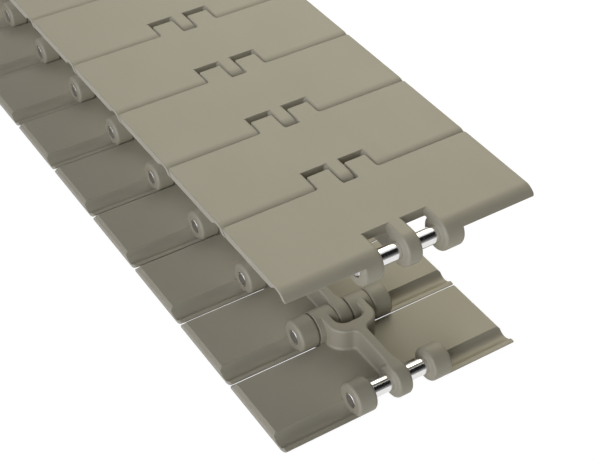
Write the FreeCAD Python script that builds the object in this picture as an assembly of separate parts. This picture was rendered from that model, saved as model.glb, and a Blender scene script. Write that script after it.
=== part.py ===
# Slat top conveyor chain, two lengths of it one above the other as a conveyor
# carries them: the upper length with its carrying faces up, the lower length
# coming back upside down.
# Millimetres, +Z up, +X towards the front ends where the bare pins show.
# The origin is the middle of the chain on the surface that it stands on.

import FreeCAD, Part
import math
import os

from FreeCAD import Vector

# Driving dimensions of the chain
LINKS_PER_LENGTH = 10
PITCH = 38.1
SLAT_WIDTH = 101.6
OVERALL_HEIGHT = 77.3

# Slat plate: a carrying plate with a curled lip in front and a hollow edge behind
PLATE_THICKNESS = 4.0
LIP_THICKNESS = 1.2
LIP_HOLLOW_RADIUS = 4.0
LIP_DROP = 3.15
SIDE_BEVEL = 1.3

# Hinge: three knuckles in front, two behind, on one pin
KNUCKLE_RADIUS = 6.7
CENTRE_KNUCKLE_WIDTH = 6.3
OPENING_WIDTH = 9.3
OUTER_KNUCKLE_WIDTH = 8.2
TAB_SLOT = 3.0

# Running clearances between neighbouring links
KNUCKLE_SIDE_CLEARANCE = 0.3
OPENING_CLEARANCE = 0.4
NOSE_CLEARANCE = 0.65
SEAM_SETBACK = 3.75
NOTCH_CLEARANCE = 2.0
POCKET_CLEARANCE = 2.6

# Pin, pressed into the outer knuckles and running in the others
PIN_DIAMETER = 6.35
PIN_END_CHAMFER = 0.5
PIN_RUNNING_CLEARANCE = 0.05
PIN_RECESS_DEPTH = 2.2

# Bridge under the plate: one arm from the centre knuckle that forks to the two behind
ARM_WIDTH = 4.2
ARM_FLARE_LENGTH = 3.6
ARM_FLARE_START = 2.6
FORK_WIDTH = 19.8
FORK_REACH = 14.4
FORK_SHOULDER_RADIUS = 7.0
FORK_FILLET_RADIUS = 2.5
POCKET_WIDTH = 12.2
POCKET_CORNER_RADIUS = 4.0
BRIDGE_BEVEL = 0.8

# How far a solid is let into the one that it grows out of, so that they fuse
ROOT_DEPTH = 1.0

# Sizes that follow, in a link's own frame: the origin is the front pin's axis
TOP = KNUCKLE_RADIUS
UNDERSIDE = TOP - PLATE_THICKNESS
BOTTOM = -KNUCKLE_RADIUS
REAR_AXIS = -PITCH
LIP_HOLLOW_HEIGHT = TOP - LIP_THICKNESS - LIP_HOLLOW_RADIUS
TAIL_RADIUS = KNUCKLE_RADIUS + NOSE_CLEARANCE
NOTCH_RADIUS = KNUCKLE_RADIUS + NOTCH_CLEARANCE
OPENING_REACH = KNUCKLE_RADIUS + OPENING_CLEARANCE
TAB_REACH = OPENING_REACH - TAB_SLOT
POCKET_REACH = KNUCKLE_RADIUS + POCKET_CLEARANCE
PIN_RADIUS = PIN_DIAMETER / 2

CENTRE_FACE = CENTRE_KNUCKLE_WIDTH / 2
OPENING_FACE = CENTRE_FACE + OPENING_WIDTH
HINGE_FACE = OPENING_FACE + OUTER_KNUCKLE_WIDTH
REAR_INNER_FACE = CENTRE_FACE + KNUCKLE_SIDE_CLEARANCE
REAR_OUTER_FACE = OPENING_FACE - KNUCKLE_SIDE_CLEARANCE
SLAT_SIDE = SLAT_WIDTH / 2
PIN_END = HINGE_FACE - PIN_RECESS_DEPTH

OVERALL_LENGTH = LINKS_PER_LENGTH * PITCH + 2 * KNUCKLE_RADIUS
FRONT_AXIS_X = OVERALL_LENGTH / 2 - KNUCKLE_RADIUS

Y_AXIS = Vector(0, 1, 0)
Z_AXIS = Vector(0, 0, 1)


def line(start, end):
    return Part.LineSegment(start, end).toShape()


def arc(start, middle, end):
    return Part.Arc(start, middle, end).toShape()


def side_point(x, z):
    return Vector(x, 0, z)


def round_pin(axis_x, radius, degrees, height=0):
    """The point of a circle about a pin axis, or a height above it, seen from the side."""
    angle = math.radians(degrees)
    return side_point(axis_x + radius * math.cos(angle), height + radius * math.sin(angle))


def arc_round_pin(axis_x, radius, start, end, height=0):
    return arc(
        round_pin(axis_x, radius, start, height),
        round_pin(axis_x, radius, (start + end) / 2, height),
        round_pin(axis_x, radius, end, height),
    )


def angle_at_height(radius, height):
    """The angle, ahead of the axis, at which a circle reaches a height."""
    return math.degrees(math.asin(height / radius))


# Front ends of the slat's cross-section, from the carrying face to the underside

def lip_end():
    """Outside the hinge: a thin curled lip that hides under the slat in front."""
    tip_height = TOP - LIP_DROP
    outer_angle = angle_at_height(KNUCKLE_RADIUS, tip_height)
    inner_angle = angle_at_height(LIP_HOLLOW_RADIUS, tip_height - LIP_HOLLOW_HEIGHT)
    root_angle = 180 - angle_at_height(LIP_HOLLOW_RADIUS, UNDERSIDE - LIP_HOLLOW_HEIGHT)
    outer_tip = round_pin(0, KNUCKLE_RADIUS, outer_angle)
    inner_tip = round_pin(0, LIP_HOLLOW_RADIUS, inner_angle, LIP_HOLLOW_HEIGHT)
    return [
        arc_round_pin(0, KNUCKLE_RADIUS, 90, outer_angle),
        line(outer_tip, inner_tip),
        arc_round_pin(0, LIP_HOLLOW_RADIUS, inner_angle, root_angle, LIP_HOLLOW_HEIGHT),
    ]


def knuckle_end():
    """A round knuckle whose crown is flush with the carrying face."""
    root_angle = -180 - angle_at_height(KNUCKLE_RADIUS, UNDERSIDE)
    return [arc_round_pin(0, KNUCKLE_RADIUS, 90, root_angle)]


def opening_end():
    """The upright wall at the back of the openings between the knuckles."""
    return [line(side_point(-OPENING_REACH, TOP), side_point(-OPENING_REACH, UNDERSIDE))]


# Rear ends of the slat's cross-section, from the underside to the carrying face

def hollow_tail(radius):
    """A hollow edge, round about the rear pin, that the next link's nose turns in.

    Where the hollow would run out to a feather edge it ends in a short upright
    land at the seam instead.
    """
    root_angle = angle_at_height(radius, UNDERSIDE)
    if SEAM_SETBACK ** 2 + TOP ** 2 <= radius ** 2 + 1e-6:
        return [arc_round_pin(REAR_AXIS, radius, root_angle, angle_at_height(radius, TOP))]
    seam_angle = math.degrees(math.acos(SEAM_SETBACK / radius))
    return [
        arc_round_pin(REAR_AXIS, radius, root_angle, seam_angle),
        line(round_pin(REAR_AXIS, radius, seam_angle),
             side_point(REAR_AXIS + SEAM_SETBACK, TOP)),
    ]


def tab_tail():
    """A rear knuckle with a flat tab on top that covers most of the opening."""
    root_angle = angle_at_height(KNUCKLE_RADIUS, UNDERSIDE)
    tab_angle = -180 - math.degrees(math.acos(TAB_REACH / KNUCKLE_RADIUS))
    tab_foot = round_pin(REAR_AXIS, KNUCKLE_RADIUS, tab_angle)
    tab_corner = side_point(REAR_AXIS - TAB_REACH, TOP)
    return [
        arc_round_pin(REAR_AXIS, KNUCKLE_RADIUS, root_angle, tab_angle),
        line(tab_foot, tab_corner),
    ]


def first_point(edges):
    return edges[0].firstVertex().Point


def last_point(edges):
    return edges[-1].lastVertex().Point


def band(near_y, far_y, front_end, rear_end):
    """The stretch of the slat between two distances from its middle, on one side."""
    edges = front_end + [line(last_point(front_end), first_point(rear_end))]
    edges += rear_end + [line(last_point(rear_end), first_point(front_end))]
    section = Part.Face(Part.Wire(edges))
    section.translate(Y_AXIS * near_y)
    return section.extrude(Y_AXIS * (far_y - near_y))


def mirrored(solid):
    return solid.mirror(Vector(0, 0, 0), Y_AXIS)


def side_stretch():
    """The plate outside the hinge, with the lower edge of its side bevelled."""
    stretch = band(HINGE_FACE, SLAT_SIDE, lip_end(), hollow_tail(TAIL_RADIUS))
    side_edges = [
        edge for edge in stretch.Edges
        if all(
            abs(vertex.Y - SLAT_SIDE) < 1e-6 and abs(vertex.Z - UNDERSIDE) < 1e-6
            for vertex in edge.Vertexes
        )
    ]
    return stretch.makeChamfer(SIDE_BEVEL, side_edges)


def half_slat_bands():
    """One side's stretches, from the edge of the slat in to the centre knuckle."""
    return [
        side_stretch(),
        band(OPENING_FACE, HINGE_FACE, knuckle_end(), hollow_tail(TAIL_RADIUS)),
        band(REAR_OUTER_FACE, OPENING_FACE, opening_end(), hollow_tail(TAIL_RADIUS)),
        band(REAR_INNER_FACE, REAR_OUTER_FACE, opening_end(), tab_tail()),
        band(CENTRE_FACE, REAR_INNER_FACE, opening_end(), hollow_tail(NOTCH_RADIUS)),
    ]


def plan_point(x, y):
    return Vector(x, y, BOTTOM)


def plan_arc(centre_x, centre_y, radius, start, end):
    """An arc of the bridge's outline, seen from above."""
    points = []
    for degrees in (start, (start + end) / 2, end):
        angle = math.radians(degrees)
        points.append(plan_point(
            centre_x + radius * math.cos(angle), centre_y + radius * math.sin(angle)
        ))
    return arc(*points)


def half_bridge_outline():
    """The bridge's outline on one side, from the centre knuckle round to the pocket."""
    arm_side = ARM_WIDTH / 2
    flare_rise = CENTRE_FACE - arm_side
    flare_radius = (ARM_FLARE_LENGTH ** 2 + flare_rise ** 2) / (2 * flare_rise)
    flare_turn = math.degrees(math.asin(ARM_FLARE_LENGTH / flare_radius))
    flare_root_x = -ARM_FLARE_START - ARM_FLARE_LENGTH

    shoulder_x = REAR_AXIS + FORK_REACH - FORK_SHOULDER_RADIUS
    shoulder_y = FORK_WIDTH / 2 - FORK_SHOULDER_RADIUS
    fillet_y = arm_side + FORK_FILLET_RADIUS
    reach = FORK_SHOULDER_RADIUS + FORK_FILLET_RADIUS
    lean = math.degrees(math.asin((fillet_y - shoulder_y) / reach))
    fillet_x = shoulder_x + reach * math.cos(math.radians(lean))

    corner_x = REAR_AXIS + POCKET_REACH - POCKET_CORNER_RADIUS
    corner_y = POCKET_WIDTH / 2 - POCKET_CORNER_RADIUS
    return [
        line(plan_point(0, CENTRE_FACE), plan_point(-ARM_FLARE_START, CENTRE_FACE)),
        plan_arc(flare_root_x, arm_side + flare_radius, flare_radius, flare_turn - 90, -90),
        line(plan_point(flare_root_x, arm_side), plan_point(fillet_x, arm_side)),
        plan_arc(fillet_x, fillet_y, FORK_FILLET_RADIUS, -90, -180 + lean),
        plan_arc(shoulder_x, shoulder_y, FORK_SHOULDER_RADIUS, lean, 90),
        line(plan_point(shoulder_x, FORK_WIDTH / 2), plan_point(REAR_AXIS, FORK_WIDTH / 2)),
        line(plan_point(REAR_AXIS, FORK_WIDTH / 2), plan_point(REAR_AXIS, POCKET_WIDTH / 2)),
        line(plan_point(REAR_AXIS, POCKET_WIDTH / 2), plan_point(corner_x, POCKET_WIDTH / 2)),
        plan_arc(corner_x, corner_y, POCKET_CORNER_RADIUS, 90, 0),
        line(plan_point(corner_x + POCKET_CORNER_RADIUS, corner_y),
             plan_point(corner_x + POCKET_CORNER_RADIUS, 0)),
    ]


def bridge():
    """Arm and fork as one prism, let into the plate, its lower edges bevelled."""
    half = half_bridge_outline()
    other_half = [mirrored(edge) for edge in half]
    front = line(plan_point(0, CENTRE_FACE), plan_point(0, -CENTRE_FACE))
    outline = Part.Wire(Part.__sortEdges__(half + other_half + [front]))
    prism = Part.Face(outline).extrude(Z_AXIS * (UNDERSIDE + ROOT_DEPTH - BOTTOM))

    def is_free_lower_edge(edge):
        if any(abs(vertex.Z - BOTTOM) > 1e-6 for vertex in edge.Vertexes):
            return False
        middle_x = edge.CenterOfMass.x
        return abs(middle_x) > 1e-6 and abs(middle_x - REAR_AXIS) > 1e-6

    return prism.makeChamfer(BRIDGE_BEVEL, [e for e in prism.Edges if is_free_lower_edge(e)])


def bore(axis_x, radius, near_y, far_y):
    return Part.makeCylinder(radius, far_y - near_y, Vector(axis_x, near_y, 0), Y_AXIS)


def bores():
    """Every hole on the front pin's and the rear pin's axis."""
    running_radius = PIN_RADIUS + PIN_RUNNING_CLEARANCE
    return [
        bore(0, PIN_RADIUS, -HINGE_FACE, HINGE_FACE),
        bore(0, running_radius, -OPENING_FACE, OPENING_FACE),
        bore(REAR_AXIS, running_radius, -REAR_OUTER_FACE, REAR_OUTER_FACE),
    ]


def make_slat():
    """One moulded slat in its own frame."""
    half = half_slat_bands()
    middle = band(-CENTRE_FACE, CENTRE_FACE, knuckle_end(), hollow_tail(NOTCH_RADIUS))
    pieces = half + [mirrored(piece) for piece in half] + [bridge()]
    return middle.fuse(pieces).removeSplitter().cut(bores()).removeSplitter()


def make_pin():
    """A plain round pin with bevelled ends, along Y through its link's origin."""
    shoulder_y = PIN_END - PIN_END_CHAMFER
    end_radius = PIN_RADIUS - PIN_END_CHAMFER
    corners = [
        Vector(0, -PIN_END, 0),
        Vector(end_radius, -PIN_END, 0),
        Vector(PIN_RADIUS, -shoulder_y, 0),
        Vector(PIN_RADIUS, shoulder_y, 0),
        Vector(end_radius, PIN_END, 0),
        Vector(0, PIN_END, 0),
    ]
    section = Part.Face(Part.makePolygon(corners + corners[:1]))
    return section.revolve(Vector(0, 0, 0), Y_AXIS, 360)


def upper_place(index):
    """Carrying face up, counted from the front."""
    return FreeCAD.Placement(
        Vector(FRONT_AXIS_X - PITCH * index, 0, OVERALL_HEIGHT - TOP), FreeCAD.Rotation()
    )


def lower_place(index):
    """Turned over about the line of travel, its carrying face on the ground."""
    return FreeCAD.Placement(
        Vector(FRONT_AXIS_X - PITCH * index, 0, TOP), FreeCAD.Rotation(Vector(1, 0, 0), 180)
    )


def write(shape, place, name):
    placed = shape.copy()
    placed.Placement = place.multiply(shape.Placement)
    placed.exportStep(os.path.join("parts", name + ".step"))


def single_solid(shape):
    return shape.Solids[0] if len(shape.Solids) == 1 else shape


os.makedirs("parts", exist_ok=True)

slat = single_solid(make_slat())
pin = single_solid(make_pin())

for index in range(LINKS_PER_LENGTH):
    number = "%02d" % (index + 1)
    for length_name, place in (("upper", upper_place(index)), ("lower", lower_place(index))):
        write(slat, place, length_name + "_slat_" + number)
        write(pin, place, length_name + "_pin_" + number)
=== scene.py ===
import math

import bmesh
import bpy
from mathutils import Matrix, Vector


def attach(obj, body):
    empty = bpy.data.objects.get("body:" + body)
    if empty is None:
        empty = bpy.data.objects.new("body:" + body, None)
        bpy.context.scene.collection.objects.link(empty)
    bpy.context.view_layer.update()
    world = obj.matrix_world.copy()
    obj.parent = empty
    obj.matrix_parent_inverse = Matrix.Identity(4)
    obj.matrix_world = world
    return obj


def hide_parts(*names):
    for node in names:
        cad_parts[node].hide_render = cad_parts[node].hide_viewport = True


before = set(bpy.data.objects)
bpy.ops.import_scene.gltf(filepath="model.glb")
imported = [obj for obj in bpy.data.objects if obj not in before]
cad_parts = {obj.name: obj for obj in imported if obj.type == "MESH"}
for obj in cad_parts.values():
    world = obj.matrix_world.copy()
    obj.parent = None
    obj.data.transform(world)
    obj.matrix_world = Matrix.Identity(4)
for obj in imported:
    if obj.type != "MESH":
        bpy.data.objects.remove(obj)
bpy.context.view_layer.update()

# The slats
# Injection moulded in tan acetal, each in one piece: a carrying plate with a lip and a
# hollow edge, hinge knuckles and a forked bridge, with rounded edges and a fine grain.
MM = 0.001
LINKS = 10
PITCH = 38.1
SLAT_WIDTH = 101.6
OVERALL_HEIGHT = 77.3
KNUCKLE_RADIUS = 6.7
PLATE_THICKNESS = 4.0
LIP_THICKNESS = 1.2
LIP_HOLLOW_RADIUS = 4.0
LIP_DROP = 3.15
SIDE_BEVEL = 1.3
CENTRE_KNUCKLE_WIDTH = 6.3
OPENING_WIDTH = 9.3
OUTER_KNUCKLE_WIDTH = 8.2
SIDE_CLEARANCE = 0.18
OPENING_REACH = 7.1
TAB_REACH = 4.1
TAIL_RADIUS = 7.35
SEAM_SETBACK = 3.75
NOTCH_RADIUS = 8.7
PIN_RADIUS = 3.175
BORE_PLAY = 0.04
KEYING = 0.012
ROOT_DEPTH = 2.0
CUT_REACH = 9.0
OVERCUT = 1.0

PLATE_TOP = KNUCKLE_RADIUS
PLATE_UNDERSIDE = PLATE_TOP - PLATE_THICKNESS
REAR_AXIS = -PITCH
CENTRE_FACE = CENTRE_KNUCKLE_WIDTH / 2
OPENING_FACE = CENTRE_FACE + OPENING_WIDTH
HINGE_FACE = OPENING_FACE + OUTER_KNUCKLE_WIDTH
REAR_INNER_FACE = CENTRE_FACE + SIDE_CLEARANCE
REAR_OUTER_FACE = OPENING_FACE - SIDE_CLEARANCE
SLAT_SIDE = SLAT_WIDTH / 2
LIP_HOLLOW_HEIGHT = PLATE_TOP - LIP_THICKNESS - LIP_HOLLOW_RADIUS
LIP_TIP_ANGLE = math.degrees(math.asin((PLATE_TOP - LIP_DROP) / KNUCKLE_RADIUS))
LIP_REACH = KNUCKLE_RADIUS * math.cos(math.radians(LIP_TIP_ANGLE))
TURN_STEP = 5
ROUNDING_STEPS = 4
ANGLE_SLACK = 1e-6
SAME_ANGLE = 1e-3
SHARP_TURN = math.radians(25)
MITRE_LIMIT = 0.4


def round_pin(axis_x, radius, start, end, height=0):
    """Points on a circle about a pin's axis, seen from the side, in degrees."""
    low, high = sorted((start, end))
    stops = {low, high, *range(-360, 361, TURN_STEP)}
    if radius == KNUCKLE_RADIUS:
        stops.add(LIP_TIP_ANGLE)
    low, high = low - ANGLE_SLACK, high + ANGLE_SLACK
    stops = sorted((a for a in stops if low <= a <= high), reverse=start > end)
    kept = [stops[0]]
    for angle in stops[1:]:
        if abs(angle - kept[-1]) > SAME_ANGLE:
            kept.append(angle)
    return [
        (axis_x + radius * math.cos(math.radians(a)), height + radius * math.sin(math.radians(a)))
        for a in kept
    ]


def walked(outline, index, way, distance):
    """The point a distance along an outline from one of its corners, and its next corner."""
    here = Vector(outline[index])
    while True:
        index = (index + way) % len(outline)
        step = Vector(outline[index]) - here
        if step.length >= distance:
            return here + step.normalized() * distance, index
        distance -= step.length
        here = Vector(outline[index])


def eased(outline, reach, where=lambda point: True):
    """An outline with its sharp corners rounded, each over a reach either way."""
    turns = []
    for index, point in enumerate(outline):
        before = Vector(point) - Vector(outline[index - 1])
        after = Vector(outline[(index + 1) % len(outline)]) - Vector(point)
        turns.append(abs(before.angle_signed(after)) > SHARP_TURN and where(point))
    result = []
    skipped = set()
    curves = {}
    for index, sharp in enumerate(turns):
        if not sharp:
            continue
        start, start_index = walked(outline, index, -1, reach)
        end, end_index = walked(outline, index, 1, reach)
        corner = Vector(outline[index])
        curve = []
        for step in range(ROUNDING_STEPS + 1):
            t = step / ROUNDING_STEPS
            curve.append(tuple(start * (1 - t) ** 2 + corner * 2 * t * (1 - t) + end * t ** 2))
        curves[index] = curve
        passed = (start_index + 1) % len(outline)
        while passed != end_index:
            skipped.add(passed)
            passed = (passed + 1) % len(outline)
    for index, point in enumerate(outline):
        if index in curves:
            result += curves[index]
        elif index not in skipped:
            result.append(tuple(point))
    return result


def inset(outline, depth):
    """An outline moved inwards by a depth all round."""
    area = sum(
        a[0] * b[1] - b[0] * a[1] for a, b in zip(outline, outline[1:] + outline[:1])
    )
    inward = 1 if area > 0 else -1
    result = []
    for index, point in enumerate(outline):
        before = (Vector(point) - Vector(outline[index - 1])).normalized()
        after = (Vector(outline[(index + 1) % len(outline)]) - Vector(point)).normalized()
        first = Vector((-before.y, before.x)) * inward
        second = Vector((-after.y, after.x)) * inward
        shift = (first + second) / max(1 + first.dot(second), MITRE_LIMIT)
        result.append(tuple(Vector(point) + shift * depth))
    return result


def block(outline, near, far, rounding=0.0, along="Y", flare=None):
    """A bar along one axis with a drawn section.

    The rims at its ends are rounded, or the far one flares out to where it meets a face.
    """
    quarter = [math.pi / 2 * step / ROUNDING_STEPS for step in range(ROUNDING_STEPS + 1)]
    rim = [(rounding * (1 - math.sin(t)), rounding * (1 - math.cos(t))) for t in quarter]
    if not rounding:
        rim = [(0.0, 0.0)]
    depths = [(near + step, inwards) for step, inwards in reversed(rim)]
    if flare:
        reach, face = flare
        depths += [
            (face - reach * (1 - math.sin(t)), -reach * (1 - math.cos(t))) for t in quarter
        ]
        depths.append((far, -reach))
    else:
        depths += [(far - step, inwards) for step, inwards in rim]
    mesh = bmesh.new()
    rings = []
    for depth, inwards in depths:
        places = inset(outline, inwards) if inwards else outline
        if along == "X":
            rings.append([mesh.verts.new((depth, a, b)) for a, b in places])
        elif along == "Y":
            rings.append([mesh.verts.new((a, depth, b)) for a, b in places])
        else:
            rings.append([mesh.verts.new((a, b, depth)) for a, b in places])
    mesh.faces.new(rings[0])
    mesh.faces.new(rings[-1])
    for ring, following in zip(rings, rings[1:]):
        for index in range(len(outline)):
            after = (index + 1) % len(outline)
            mesh.faces.new((ring[index], ring[after], following[after], following[index]))
    bmesh.ops.recalc_face_normals(mesh, faces=mesh.faces)
    bmesh.ops.triangulate(mesh, faces=[face for face in mesh.faces if len(face.verts) > 4])
    made = bpy.data.objects.new("block", bpy.data.meshes.new("block"))
    mesh.to_mesh(made.data)
    mesh.free()
    bpy.context.scene.collection.objects.link(made)
    return made


def rectangle(low, high):
    """An outline from two opposite corners."""
    return [(low[0], low[1]), (high[0], low[1]), (high[0], high[1]), (low[0], high[1])]


def settle(body):
    """Applies a body's modifiers."""
    evaluated = body.evaluated_get(bpy.context.evaluated_depsgraph_get())
    finished = bpy.data.meshes.new_from_object(evaluated)
    body.modifiers.clear()
    spent = body.data
    body.data = finished
    bpy.data.meshes.remove(spent)


def combine(body, operation, tools):
    """Joins tools to a body, cuts them from it or keeps what they share with it."""
    for tool in tools:
        modifier = body.modifiers.new("combine", "BOOLEAN")
        modifier.operation = operation
        modifier.solver = "MANIFOLD"
        modifier.object = tool
        settle(body)
        spent = tool.data
        bpy.data.objects.remove(tool)
        bpy.data.meshes.remove(spent)


def both_sides(section, near, far, rounding=0.0):
    """A bar on either side of the slat's middle."""
    return [block(section, near, far, rounding), block(section, -far, -near, rounding)]


EDGE_ROUNDING = 0.12
TOP_ROUNDING = 0.35
LIP_TIP_ROUNDING = 0.5
PLATE_CORNER = 1.2


def plate_section():
    """The plate seen from the side, with its lip in front and its hollow behind."""
    lip_inner = math.degrees(math.asin(
        (PLATE_TOP - LIP_DROP - LIP_HOLLOW_HEIGHT) / LIP_HOLLOW_RADIUS
    ))
    lip_root = 180 - math.degrees(math.asin(
        (PLATE_UNDERSIDE - LIP_HOLLOW_HEIGHT) / LIP_HOLLOW_RADIUS
    ))
    tail_root = math.degrees(math.asin(PLATE_UNDERSIDE / TAIL_RADIUS))
    tail_seam = math.degrees(math.acos(SEAM_SETBACK / TAIL_RADIUS))
    section = (
        round_pin(0, KNUCKLE_RADIUS, 90, LIP_TIP_ANGLE)
        + round_pin(0, LIP_HOLLOW_RADIUS, lip_inner, lip_root, LIP_HOLLOW_HEIGHT)
        + round_pin(REAR_AXIS, TAIL_RADIUS, tail_root, tail_seam)
        + [(REAR_AXIS + SEAM_SETBACK, PLATE_TOP)]
    )
    return eased(section, LIP_TIP_ROUNDING, lambda point: point[0] > 0)


def side_bevel_cuts():
    """Bars that take off the lower edges of the plate's sides."""
    beyond = 2.0
    reach = SIDE_BEVEL + beyond
    corner = [
        (SLAT_SIDE - reach, PLATE_UNDERSIDE - beyond),
        (SLAT_SIDE + beyond, PLATE_UNDERSIDE - beyond),
        (SLAT_SIDE + beyond, PLATE_UNDERSIDE + reach),
    ]
    back, front = REAR_AXIS - OVERCUT, -LIP_HOLLOW_RADIUS / 2
    return [
        block([(side * y, z) for y, z in corner], back, front, along="X") for side in (1, -1)
    ]


KNUCKLE_ROUNDING = 1.3
REAR_KNUCKLE_ROUNDING = 0.25
CROWN_OVERLAP = 0.1


def knuckle_section():
    """A front knuckle seen from the side, with the crown that joins it to the plate."""
    radius = KNUCKLE_RADIUS - KEYING
    underside = PLATE_UNDERSIDE + KEYING
    root = -180 - math.degrees(math.asin(underside / radius))
    back = -OPENING_REACH - ROOT_DEPTH
    return round_pin(0, radius, 90, root) + [(back, underside), (back, radius)]


TAB_CORNER = 0.6
TAB_ROOT_REACH = 9.0
TAB_ROOT_FILLET = 1.2
TAB_ROOT_KEYING = 0.05
TAB_ROOT_OVERLAP = 0.3
TAB_ROOT_THICKNESS = 0.5
TAB_ROOT_STEPS = 6


def tab_plan(near, far):
    """A tab seen from above, its free corners rounded."""
    back = REAR_AXIS - TAB_REACH
    outline = rectangle((back, near), (REAR_AXIS + TAB_ROOT_REACH, far))
    return eased(outline, TAB_CORNER, lambda point: point[0] < REAR_AXIS)


def tab_root_plan(face, outwards):
    """The small fillet between a tab's side and the seam, seen from above."""
    seam = REAR_AXIS + SEAM_SETBACK + TAB_ROOT_KEYING
    reach = TAB_ROOT_FILLET
    turns = [math.pi / 2 * step / TAB_ROOT_STEPS for step in range(TAB_ROOT_STEPS + 1)]
    arc = [
        (seam - reach + reach * math.sin(t), face + outwards * (reach - reach * math.cos(t)))
        for t in turns
    ]
    root = seam + TAB_ROOT_THICKNESS
    inside = face - outwards * TAB_ROOT_OVERLAP
    return arc + [(root, face + outwards * reach), (root, inside), (seam - reach, inside)]


def plan_arc(centre, radius, start, end, steps):
    """Points on an arc, its angles in degrees."""
    turns = [math.radians(start + (end - start) * i / steps) for i in range(steps + 1)]
    return [(centre[0] + radius * math.cos(t), centre[1] + radius * math.sin(t)) for t in turns]


ARM_WIDTH = 4.2
FLARE_LENGTH = 3.6
FLARE_START = 2.6
FORK_WIDTH = 19.8
FORK_REACH = 14.4
SHOULDER_RADIUS = 7.0
FILLET_RADIUS = 2.5
POCKET_WIDTH = 12.2
POCKET_REACH = 9.3
POCKET_CORNER = 4.0
BRIDGE_ROUNDING = 1.1
BRIDGE_FILLET = 1.0


def bridge_plan():
    """The bridge's outline from below: an arm that forks to the two rear knuckles."""
    arm = ARM_WIDTH / 2
    flared = CENTRE_FACE - 2 * KEYING
    rise = flared - arm
    flare_radius = (FLARE_LENGTH ** 2 + rise ** 2) / (2 * rise)
    flare_turn = math.degrees(math.asin(FLARE_LENGTH / flare_radius))
    flare_root = -FLARE_START - FLARE_LENGTH
    shoulder_x = REAR_AXIS + FORK_REACH - SHOULDER_RADIUS
    shoulder_y = FORK_WIDTH / 2 - SHOULDER_RADIUS
    fillet_y = arm + FILLET_RADIUS
    reach = SHOULDER_RADIUS + FILLET_RADIUS
    lean = math.degrees(math.asin((fillet_y - shoulder_y) / reach))
    fillet_x = shoulder_x + reach * math.cos(math.radians(lean))
    corner_x = REAR_AXIS + POCKET_REACH - POCKET_CORNER
    corner_y = POCKET_WIDTH / 2 - POCKET_CORNER
    half = [(0, flared)]
    half += plan_arc((flare_root, arm + flare_radius), flare_radius, flare_turn - 90, -90, 4)
    half += plan_arc((fillet_x, fillet_y), FILLET_RADIUS, -90, lean - 180, 6)
    half += plan_arc((shoulder_x, shoulder_y), SHOULDER_RADIUS, lean, 90, 12)[1:]
    half += [(REAR_AXIS, FORK_WIDTH / 2), (REAR_AXIS, POCKET_WIDTH / 2)]
    half += plan_arc((corner_x, corner_y), POCKET_CORNER, 90, 0, 8)
    return half + [(x, -y) for x, y in reversed(half)]


def slat_solid():
    """A slat about its own front axis, in millimetres.

    Shapes that join are keyed into each other by a hair, so that no two faces coincide.
    """
    plate_plan = eased(
        rectangle(
            (REAR_AXIS + SEAM_SETBACK - KEYING, -SLAT_SIDE - KEYING),
            (LIP_REACH + KEYING, SLAT_SIDE + KEYING),
        ),
        PLATE_CORNER,
    )
    opening_side = HINGE_FACE - KNUCKLE_ROUNDING - CROWN_OVERLAP
    opening = rectangle((-OPENING_REACH, -CUT_REACH), (CUT_REACH, CUT_REACH))
    rear_turn = round_pin(REAR_AXIS, KNUCKLE_RADIUS - KEYING, 0, 360)[:-1]
    notch_turn = round_pin(REAR_AXIS, NOTCH_RADIUS, 0, 360)[:-1]
    notch_side = REAR_INNER_FACE + 2 * KEYING
    slat = block(plate_section(), -SLAT_SIDE, SLAT_SIDE, EDGE_ROUNDING)
    combine(slat, "INTERSECT", [
        block(plate_plan, -CUT_REACH, PLATE_TOP + KEYING, TOP_ROUNDING, "Z"),
    ])
    combine(slat, "DIFFERENCE", side_bevel_cuts() + [
        block(opening, -opening_side, opening_side),
        block(notch_turn, -notch_side, notch_side, TAB_CORNER),
    ])
    added = [
        block(knuckle_section(), -CENTRE_FACE, CENTRE_FACE, KNUCKLE_ROUNDING),
        *both_sides(knuckle_section(), OPENING_FACE, HINGE_FACE, KNUCKLE_ROUNDING),
        *both_sides(
            rear_turn, REAR_INNER_FACE + KEYING, REAR_OUTER_FACE - KEYING, REAR_KNUCKLE_ROUNDING
        ),
        block(
            bridge_plan(), 2 * KEYING - KNUCKLE_RADIUS, PLATE_UNDERSIDE + ROOT_DEPTH,
            BRIDGE_ROUNDING, "Z", (BRIDGE_FILLET, PLATE_UNDERSIDE + KEYING),
        ),
    ]
    low, high = PLATE_UNDERSIDE + 2 * KEYING, PLATE_TOP - 2 * KEYING
    for side in (1, -1):
        near, far = sorted((side * REAR_INNER_FACE, side * REAR_OUTER_FACE))
        added.append(block(tab_plan(near, far), low, high, 2 * EDGE_ROUNDING, "Z"))
        added.append(block(
            tab_root_plan(side * REAR_OUTER_FACE, side), high - TAB_ROOT_THICKNESS,
            high - KEYING, along="Z",
        ))
    combine(slat, "UNION", added)
    gap = rectangle((KEYING - OPENING_REACH, -CUT_REACH), (CUT_REACH, CUT_REACH))
    combine(slat, "DIFFERENCE", both_sides(gap, CENTRE_FACE + KEYING, OPENING_FACE - KEYING))
    bore_end = HINGE_FACE + OVERCUT
    combine(slat, "DIFFERENCE", [
        block(round_pin(axis, PIN_RADIUS + BORE_PLAY, 0, 360)[:-1], -bore_end, bore_end)
        for axis in (0, REAR_AXIS)
    ])
    return slat


WELD_DISTANCE = 1e-3
FLAT_ANGLE = math.radians(0.4)


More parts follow.
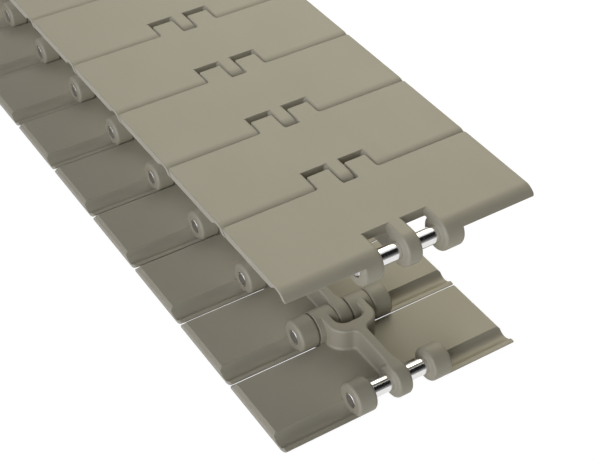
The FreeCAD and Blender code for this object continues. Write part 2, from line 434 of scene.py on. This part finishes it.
def moulded_slat():
    """The slat's pattern in metres, its flat faces made whole."""
    slat = slat_solid()
    mesh = bmesh.new()
    mesh.from_mesh(slat.data)
    bmesh.ops.remove_doubles(mesh, verts=mesh.verts, dist=WELD_DISTANCE)
    bmesh.ops.dissolve_limit(mesh, angle_limit=FLAT_ANGLE, verts=mesh.verts, edges=mesh.edges)
    bmesh.ops.triangulate(mesh, faces=[face for face in mesh.faces if len(face.verts) > 4])
    mesh.to_mesh(slat.data)
    mesh.free()
    slat.data.transform(Matrix.Scale(MM, 4))
    return slat


slat_pattern = moulded_slat()


class Shade:
    """A socket of a shader tree, so that sums on it read as sums."""

    def __init__(self, tree, socket=None):
        self.tree = tree
        self.socket = socket

    def node(self, kind, settings=None, inputs=None, output=0):
        made = self.tree.nodes.new(kind)
        for name, value in (settings or {}).items():
            if name == "stops":
                for index, (place, level) in enumerate(value):
                    stops = made.color_ramp.elements
                    stop = stops[index] if index < len(stops) else stops.new(place)
                    stop.position = place
                    stop.color = (level, level, level, 1)
            else:
                setattr(made, name, value)
        for name, value in (inputs or {}).items():
            if isinstance(value, Shade):
                self.tree.links.new(value.socket, made.inputs[name])
            else:
                made.inputs[name].default_value = value
        return Shade(self.tree, made.outputs[output])

    def sum_with(self, operation, first, second):
        return self.node("ShaderNodeMath", {"operation": operation}, {0: first, 1: second})

    def __add__(self, other):
        return self.sum_with("ADD", self, other)

    def __radd__(self, other):
        return self.sum_with("ADD", other, self)

    def __sub__(self, other):
        return self.sum_with("SUBTRACT", self, other)

    def __rsub__(self, other):
        return self.sum_with("SUBTRACT", other, self)

    def __mul__(self, other):
        return self.sum_with("MULTIPLY", self, other)

    def __rmul__(self, other):
        return self.sum_with("MULTIPLY", other, self)


def surface(name, roughness, metallic=0.0):
    """A new material, its shader and a shade to build its nodes with."""
    material = bpy.data.materials.new(name)
    material.use_nodes = True
    shader = material.node_tree.nodes["Principled BSDF"]
    shader.inputs["Roughness"].default_value = roughness
    shader.inputs["Metallic"].default_value = metallic
    return material, shader, Shade(material.node_tree)


ACETAL_TAN = (0.342, 0.314, 0.231)
TONE_DRIFT = 0.08
GRAIN_TONE = 0.05
RUB_STRETCH = (60.0, 1500.0, 200.0)
ACETAL_ROUGHNESS = 0.38
ROUGHNESS_DRIFT = 0.1
RUB_ROUGHNESS = 0.08
GRAIN_RELIEF = 0.7
RUB_RELIEF = 0.3


def acetal():
    """Tan moulded acetal: waxy, with a fine spark-eroded grain and faint rub marks."""
    material, shader, shade = surface("slat_acetal", ACETAL_ROUGHNESS)
    place = shade.node("ShaderNodeTexCoord", output="Object")
    cloud = shade.node("ShaderNodeTexNoise", inputs={
        "Vector": place, "Scale": 38.0, "Detail": 3.0,
    })
    grain = shade.node("ShaderNodeTexNoise", inputs={
        "Vector": place, "Scale": 1900.0, "Detail": 2.0,
    })
    tone = 1 - TONE_DRIFT / 2 + TONE_DRIFT * cloud + (grain - 0.5) * GRAIN_TONE
    colour = shade.node(
        "ShaderNodeVectorMath", {"operation": "SCALE"}, {0: ACETAL_TAN, "Scale": tone}
    )
    material.node_tree.links.new(colour.socket, shader.inputs["Base Color"])
    rub_place = shade.node(
        "ShaderNodeVectorMath", {"operation": "MULTIPLY"}, {0: place, 1: RUB_STRETCH}
    )
    rub = shade.node("ShaderNodeTexNoise", inputs={
        "Vector": rub_place, "Scale": 1.0, "Detail": 2.0,
    })
    roughness = ACETAL_ROUGHNESS + ROUGHNESS_DRIFT * cloud + RUB_ROUGHNESS * rub
    material.node_tree.links.new(roughness.socket, shader.inputs["Roughness"])
    relief = grain * GRAIN_RELIEF + rub * RUB_RELIEF
    bump = shade.node("ShaderNodeBump", inputs={
        "Strength": 0.12, "Distance": 0.0001, "Height": relief,
    })
    material.node_tree.links.new(bump.socket, shader.inputs["Normal"])
    return material


def row_tree():
    """Geometry nodes that lay one length's links out and keep one of them."""
    tree = bpy.data.node_groups.new("link_of_a_length", "GeometryNodeTree")
    face = tree.interface
    face.new_socket("Piece", in_out="INPUT", socket_type="NodeSocketGeometry")
    for name, kind in (
        ("Links", "NodeSocketInt"), ("Link", "NodeSocketInt"), ("Pitch", "NodeSocketFloat"),
        ("Front Axis", "NodeSocketFloat"), ("Axis Height", "NodeSocketFloat"),
        ("Turned Over", "NodeSocketBool"), ("Finish", "NodeSocketMaterial"),
    ):
        face.new_socket(name, in_out="INPUT", socket_type=kind)
    face.new_socket("Length", in_out="OUTPUT", socket_type="NodeSocketGeometry")
    nodes, links = tree.nodes, tree.links
    given = nodes.new("NodeGroupInput")
    result = nodes.new("NodeGroupOutput")

    def add(kind, settings=None, **feeds):
        made = nodes.new(kind)
        for name, value in (settings or {}).items():
            setattr(made, name, value)
        for name, value in feeds.items():
            socket = made.inputs[name.replace("_", " ")]
            if isinstance(value, bpy.types.NodeSocket):
                links.new(value, socket)
            else:
                socket.default_value = value
        return made

    start = add(
        "ShaderNodeCombineXYZ", X=given.outputs["Front Axis"], Z=given.outputs["Axis Height"]
    )
    back = add("ShaderNodeMath", {"operation": "MULTIPLY"})
    links.new(given.outputs["Pitch"], back.inputs[0])
    back.inputs[1].default_value = -1.0
    step = add("ShaderNodeCombineXYZ", X=back.outputs[0])
    axes = add(
        "GeometryNodeMeshLine", Count=given.outputs["Links"],
        Start_Location=start.outputs[0], Offset=step.outputs[0],
    )
    turn = add("ShaderNodeMath", {"operation": "MULTIPLY"})
    links.new(given.outputs["Turned Over"], turn.inputs[0])
    turn.inputs[1].default_value = math.pi
    turned = add("ShaderNodeCombineXYZ", X=turn.outputs[0])
    number = add("GeometryNodeInputIndex")
    other = add("FunctionNodeCompare", {"data_type": "INT", "operation": "NOT_EQUAL"})
    links.new(number.outputs[0], other.inputs[2])
    links.new(given.outputs["Link"], other.inputs[3])
    kept = add("GeometryNodeDeleteGeometry", Geometry=axes.outputs[0], Selection=other.outputs[0])
    laid = add(
        "GeometryNodeInstanceOnPoints", Points=kept.outputs[0],
        Instance=given.outputs["Piece"], Rotation=turned.outputs[0],
    )
    real = add("GeometryNodeRealizeInstances", Geometry=laid.outputs[0])
    finished = add(
        "GeometryNodeSetMaterial", Geometry=real.outputs[0], Material=given.outputs["Finish"]
    )
    links.new(finished.outputs[0], result.inputs[0])
    return tree


FRONT_AXIS = LINKS * PITCH / 2
ROW_TREE = row_tree()


def laid_out(pattern, name, length, link, finish):
    """One link's copy of a piece, in its place, as a plain mesh of its own."""
    carrier = bpy.data.objects.new(name, pattern.data.copy())
    bpy.context.scene.collection.objects.link(carrier)
    modifier = carrier.modifiers.new("length", "NODES")
    modifier.node_group = ROW_TREE
    upper = length == "upper"
    height = OVERALL_HEIGHT - KNUCKLE_RADIUS if upper else KNUCKLE_RADIUS
    values = {
        "Links": LINKS, "Pitch": PITCH * MM, "Front Axis": FRONT_AXIS * MM,
        "Axis Height": height * MM, "Turned Over": not upper, "Link": link, "Finish": finish,
    }
    for item in ROW_TREE.interface.items_tree:
        if item.in_out == "INPUT" and item.name in values:
            modifier[item.identifier] = values[item.name]
    settle(carrier)
    carrier.data.name = name
    carrier.data.polygons.foreach_set("use_smooth", [True] * len(carrier.data.polygons))
    return carrier


def soften(piece, angle):
    """Shades a piece smooth apart from the corners that stay crisp."""
    piece.data.set_sharp_from_angle(angle=math.radians(angle))
    modifier = piece.modifiers.new("even", "WEIGHTED_NORMAL")
    modifier.keep_sharp = True
    settle(piece)


SLAT_CRISP_ANGLE = 40
slat_finish = acetal()
for length in ("upper", "lower"):
    for link in range(LINKS):
        number = "%02d" % (link + 1)
        name = "%s_moulding_%s" % (length, number)
        slat = laid_out(slat_pattern, name, length, link, slat_finish)
        soften(slat, SLAT_CRISP_ANGLE)
        # Mirror rays pass the upper slats behind the front one, so that the lower pins
        # reflect the white room.
        slat.visible_glossy = length == "lower" or link == 0
        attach(slat, "%s_link_%s" % (length, number))
        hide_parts("%s_slat_%s" % (length, number))

bpy.data.objects.remove(slat_pattern)

# The hinge pins
# Ground and polished steel pins, pressed into the outer knuckles until their
# chamfered ends are all but level with the knuckles' faces.
PIN_INSET = 0.1
PIN_END = HINGE_FACE - PIN_INSET
PIN_CHAMFER = 0.65
PIN_CHAMFER_ANGLE = math.radians(35)
PIN_SIDES = 72
PIN_CRISP_ANGLE = 30


def turned_pin():
    """A pin about its own axis, along Y, in metres."""
    shoulder = PIN_END - PIN_CHAMFER * math.tan(PIN_CHAMFER_ANGLE)
    tip = PIN_RADIUS - PIN_CHAMFER
    rings = [(tip, -PIN_END), (PIN_RADIUS, -shoulder), (PIN_RADIUS, shoulder), (tip, PIN_END)]
    mesh = bmesh.new()
    made = []
    for radius, y in rings:
        turns = [2 * math.pi * index / PIN_SIDES for index in range(PIN_SIDES)]
        made.append([
            mesh.verts.new((radius * math.cos(t) * MM, y * MM, radius * math.sin(t) * MM))
            for t in turns
        ])
    mesh.faces.new(made[0])
    mesh.faces.new(made[-1])
    for near, far in zip(made, made[1:]):
        for index in range(PIN_SIDES):
            after = (index + 1) % PIN_SIDES
            mesh.faces.new((near[index], near[after], far[after], far[index]))
    bmesh.ops.recalc_face_normals(mesh, faces=mesh.faces)
    pin = bpy.data.objects.new("pin_pattern", bpy.data.meshes.new("pin_pattern"))
    mesh.to_mesh(pin.data)
    mesh.free()
    bpy.context.scene.collection.objects.link(pin)
    return pin


STEEL_GREY = (0.78, 0.77, 0.76)
RING_STRETCH = (40.0, 5200.0, 40.0)
STEEL_TONE = 0.94
RING_TONE = 0.08
STEEL_ROUGHNESS = 0.1
RING_ROUGHNESS = 0.12
# The flat pin ends: really rougher, and darkened in colour as painted shade of the knuckle holes
# they sit in.
END_FACE_DEPTH = 0.02
PIN_END_PAINTED_SHADE = 0.4
CUT_ROUGHNESS = 0.15


def ground_steel():
    """Bright steel with fine rings from centreless grinding, and duller cropped ends whose colour
    is darkened as painted shade of the knuckle holes.
    """
    material, shader, shade = surface("pin_steel", STEEL_ROUGHNESS, 1.0)
    place = shade.node("ShaderNodeTexCoord", output="Object")
    ring_place = shade.node(
        "ShaderNodeVectorMath", {"operation": "MULTIPLY"}, {0: place, 1: RING_STRETCH}
    )
    rings = shade.node("ShaderNodeTexNoise", inputs={
        "Vector": ring_place, "Scale": 1.0, "Detail": 3.0,
    })
    # A mask for the flat pin ends, which carries both their real roughness and their painted
    # shade.
    along = shade.node("ShaderNodeSeparateXYZ", inputs={"Vector": place}, output=1)
    reach = shade.node("ShaderNodeMath", {"operation": "ABSOLUTE"}, {0: along})
    cropped_end_and_shade = shade.node(
        "ShaderNodeMath", {"operation": "GREATER_THAN"}, {0: reach, 1: (PIN_END - END_FACE_DEPTH) * MM}
    )
    # Painted shade: the tone drops on the flat pin ends to stand for the shade inside the knuckle
    # holes.
    tone = (STEEL_TONE + RING_TONE * rings) * (1 - PIN_END_PAINTED_SHADE * cropped_end_and_shade)
    colour = shade.node(
        "ShaderNodeVectorMath", {"operation": "SCALE"}, {0: STEEL_GREY, "Scale": tone}
    )
    material.node_tree.links.new(colour.socket, shader.inputs["Base Color"])
    roughness = STEEL_ROUGHNESS + RING_ROUGHNESS * rings + CUT_ROUGHNESS * cropped_end_and_shade
    material.node_tree.links.new(roughness.socket, shader.inputs["Roughness"])
    bump = shade.node("ShaderNodeBump", inputs={
        "Strength": 0.05, "Distance": 0.00002, "Height": rings,
    })
    material.node_tree.links.new(bump.socket, shader.inputs["Normal"])
    return material


pin_pattern = turned_pin()
pin_finish = ground_steel()
for length in ("upper", "lower"):
    for link in range(LINKS):
        number = "%02d" % (link + 1)
        name = "%s_steel_pin_%s" % (length, number)
        pin = laid_out(pin_pattern, name, length, link, pin_finish)
        soften(pin, PIN_CRISP_ANGLE)
        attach(pin, "%s_link_%s" % (length, number))
        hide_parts("%s_pin_%s" % (length, number))

bpy.data.objects.remove(pin_pattern)

# The setting
# A white floor and room, soft boxes in front, on the left and high behind on the right,
# a card for the pins to reflect, and the camera where the photograph was taken from.
CAMERA_PLACE = Vector((474.40, -221.40, 384.84)) * MM
CAMERA_AZIMUTH = math.radians(57.670)
CAMERA_ELEVATION = math.radians(40.656)
CAMERA_ROLL = math.radians(-0.065)
CAMERA_LENS = 85.224

forward = Vector((
    -math.sin(CAMERA_AZIMUTH) * math.cos(CAMERA_ELEVATION),
    math.cos(CAMERA_AZIMUTH) * math.cos(CAMERA_ELEVATION),
    -math.sin(CAMERA_ELEVATION),
))
camera_data = bpy.data.cameras.new("camera")
camera_data.lens = CAMERA_LENS
camera_data.sensor_width = 36
camera_data.clip_start = 0.01
camera = bpy.data.objects.new("camera", camera_data)
turn = forward.to_track_quat("-Z", "Y").to_matrix() @ Matrix.Rotation(CAMERA_ROLL, 3, "Z")
camera.matrix_world = Matrix.Translation(CAMERA_PLACE) @ turn.to_4x4()
bpy.context.scene.collection.objects.link(camera)
bpy.context.scene.camera = camera
bpy.context.scene.view_settings.view_transform = "Standard"


def straight_rays(tree):
    """One for rays from the camera, a mirror or glass, and nought for all others."""
    path = tree.nodes.new("ShaderNodeLightPath")
    seen = Shade(tree, path.outputs["Is Camera Ray"]) + Shade(tree, path.outputs["Is Glossy Ray"])
    return seen + Shade(tree, path.outputs["Is Transmission Ray"])


FLOOR_SIZE = 6
FLOOR_DROP = 0.0002
FLOOR_WHITE = (0.82, 0.82, 0.82, 1)
FLOOR_ROUGHNESS = 0.9
SHADOW_GREY = (0.16, 0.16, 0.16, 1)
FLOOR_GLOW = 0.95


def pale_floor():
    """A white floor whose own light brings it up to white and leaves a faint shadow."""
    bpy.ops.mesh.primitive_plane_add(size=FLOOR_SIZE, location=(0, 0, -FLOOR_DROP))
    floor = bpy.context.object
    floor.name = "floor"
    material, shader, shade = surface("floor_white", FLOOR_ROUGHNESS)
    shader.inputs["Base Color"].default_value = FLOOR_WHITE
    tree = material.node_tree
    plain = Shade(tree, shader.outputs[0])
    shadow = shade.node("ShaderNodeBsdfDiffuse", inputs={"Color": SHADOW_GREY})
    glow = shade.node("ShaderNodeEmission", inputs={"Strength": FLOOR_GLOW})
    seen = shade.node("ShaderNodeAddShader", inputs={0: shadow, 1: glow})
    look = shade.node("ShaderNodeMixShader", inputs={0: straight_rays(tree), 1: plain, 2: seen})
    tree.links.new(look.socket, tree.nodes["Material Output"].inputs["Surface"])
    floor.data.materials.append(material)


pale_floor()

ROOM_LIGHT = 0.09
ROOM_WHITE = 1.0
world = bpy.data.worlds.new("studio")
world.use_nodes = True
background = world.node_tree.nodes["Background"]
rays = straight_rays(world.node_tree)
strength = rays.node("ShaderNodeMix", inputs={"Factor": rays, "A": ROOM_LIGHT, "B": ROOM_WHITE})
world.node_tree.links.new(strength.socket, background.inputs["Strength"])
background.inputs["Color"].default_value = (1, 1, 1, 1)
bpy.context.scene.world = world

CARD_HEIGHT = math.radians(35)
CARD_REACH = 0.914
CARD_SIDE_STEP = 0.4057
CARD_DISTANCE = 1.6
CARD_LENGTH = 4.0
CARD_DEPTH = 2.24
CARD_MIDDLE = 0.5
CARD_LEVELS = (
    (0.0, 0.62), (1.0, 0.012), (0.085, 0.48), (0.26, 0.2), (0.42, 0.05), (0.52, 0.012),
)


def graduated_card():
    """A card out of the picture that only reflections show: dark above, paling downwards."""
    bpy.ops.mesh.primitive_plane_add(size=1)
    card = bpy.context.object
    card.name = "graduated_card"
    material = bpy.data.materials.new("card_grey")
    material.use_nodes = True
    tree = material.node_tree
    shade = Shade(tree)
    place = shade.node("ShaderNodeTexCoord", output="Object")
    across = shade.node("ShaderNodeSeparateXYZ", inputs={"Vector": place}, output=1)
    level = shade.node("ShaderNodeValToRGB", {"stops": CARD_LEVELS}, {"Fac": across + CARD_MIDDLE})
    glow = shade.node("ShaderNodeEmission", inputs={"Color": level})
    tree.links.new(glow.socket, tree.nodes["Material Output"].inputs["Surface"])
    card.data.materials.append(material)
    rise, run = math.sin(CARD_HEIGHT), math.cos(CARD_HEIGHT)
    along = Vector((CARD_REACH * run, CARD_SIDE_STEP, CARD_REACH * rise))
    up = Vector((-rise, 0, run))
    facing = Matrix((up.cross(along), up, -along)).transposed().to_4x4()
    size = Matrix.Diagonal((CARD_LENGTH, CARD_DEPTH, 1, 1))
    card.matrix_world = Matrix.Translation(along * CARD_DISTANCE) @ facing @ size
    card.visible_camera = False
    card.visible_diffuse = False
    card.visible_shadow = False


graduated_card()

LAMP_DISTANCE = 1.6
LAMP_SIZE = 1.2
LAMP_AIM = Vector((0.05, 0, 0.04))


def soft_box(name, azimuth, elevation, power, colour):
    """A square soft box that is aimed at the chain."""
    light = bpy.data.lights.new(name, "AREA")
    light.shape = "SQUARE"
    light.size = LAMP_SIZE
    light.energy = power
    light.color = colour
    box = bpy.data.objects.new(name, light)
    level, height = math.cos(math.radians(elevation)), math.sin(math.radians(elevation))
    turn = math.radians(azimuth)
    box.location = Vector((level * math.cos(turn), level * math.sin(turn), height)) * LAMP_DISTANCE
    box.rotation_euler = (LAMP_AIM - box.location).to_track_quat("-Z", "Y").to_euler()
    bpy.context.scene.collection.objects.link(box)


soft_box("front_left_box", 315, 12, 15.3, (0.905, 0.93, 1.0))
soft_box("low_left_box", 270, 12, 5.4, (0.85, 0.84, 1.0))
soft_box("high_left_box", 290, 45, 4.7, (0.72, 0.753, 1.0))
soft_box("back_right_box", 135, 45, 13.1, (1.0, 0.949, 0.745))
